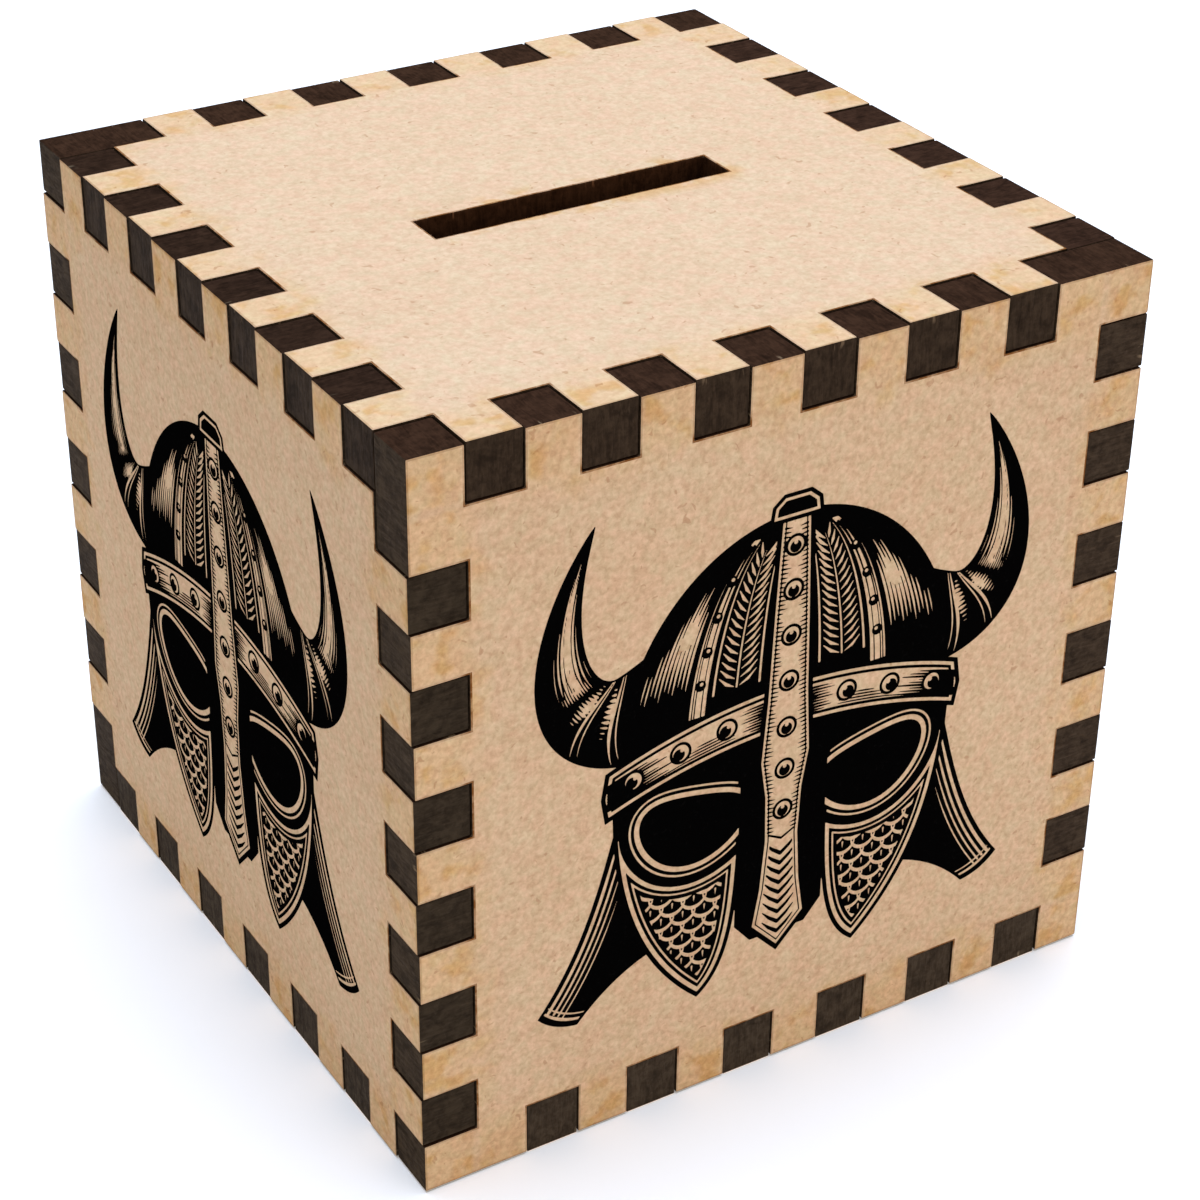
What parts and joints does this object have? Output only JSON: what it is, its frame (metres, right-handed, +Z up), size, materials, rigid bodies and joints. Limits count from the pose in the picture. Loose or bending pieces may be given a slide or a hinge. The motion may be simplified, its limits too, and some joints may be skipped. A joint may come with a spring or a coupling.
{
  "type": "wooden money box",
  "caption": "Cube money box of finger-jointed boards with a coin slot in the top and a stopper in the base.",
  "frame": {"origin": "middle of the underside, on the surface that the box stands on", "axes": "+Z up through the coin slot; the slot runs along X; the front face looks along -Y"},
  "size_m": [0.084, 0.084, 0.084],
  "materials": {
    "boards": "bare laser-cut fibreboard, cut edges scorched dark brown",
    "stopper": "soft matte moulded rubber",
    "print": "flat black printed ink"
  },
  "bodies": {
    "box": {"front_panel": "boards", "back_panel": "boards", "left_panel": "boards", "right_panel": "boards", "top_panel": "boards", "base_panel": "boards"},
    "stopper": {"stopper": "stopper"}
  },
  "joints": [
    {"name": "stopper_pull", "type": "slide", "parent": "box", "child": "stopper", "axis": [0, 0, -1], "range_m": [0, 0.025]}
  ]
}
